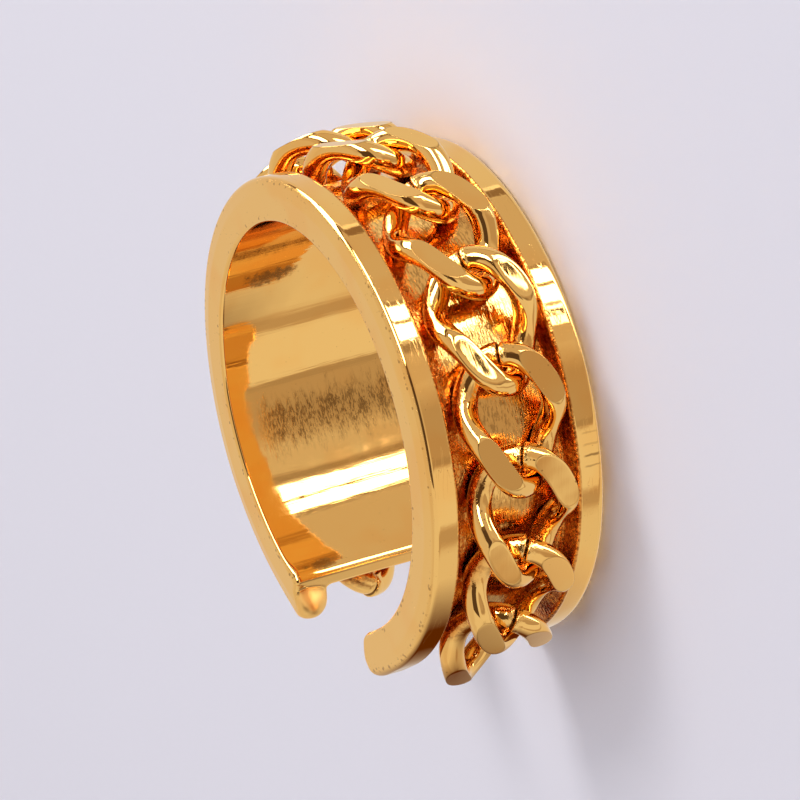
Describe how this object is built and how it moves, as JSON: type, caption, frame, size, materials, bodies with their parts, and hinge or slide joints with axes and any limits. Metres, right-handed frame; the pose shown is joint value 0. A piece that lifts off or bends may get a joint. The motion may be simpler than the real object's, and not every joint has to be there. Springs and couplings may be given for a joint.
{
  "type": "chain link ring",
  "caption": "Open finger ring: a band with a channel round its outside, filled by a curb chain of interlocked wire links that are ground flat on the outside.",
  "frame": {"origin": "centre of the finger hole, half way along it", "axes": "+Z along the finger hole's axis, towards the side face that is up when the ring lies down; the opening of the band faces -Y; the ring rests on its lower side face"},
  "size_m": [0.0244, 0.0234, 0.0082],
  "materials": {
    "band": "polished gold plate with fine scratches",
    "chain": "bright polished gold plate"
  },
  "bodies": {
    "root": {"band": "band", "link_01": "chain", "link_02": "chain", "link_03": "chain", "link_04": "chain", "link_05": "chain", "link_06": "chain", "link_07": "chain", "link_08": "chain", "link_09": "chain", "link_10": "chain", "link_11": "chain", "link_12": "chain", "link_13": "chain", "link_14": "chain"}
  },
  "joints": []
}
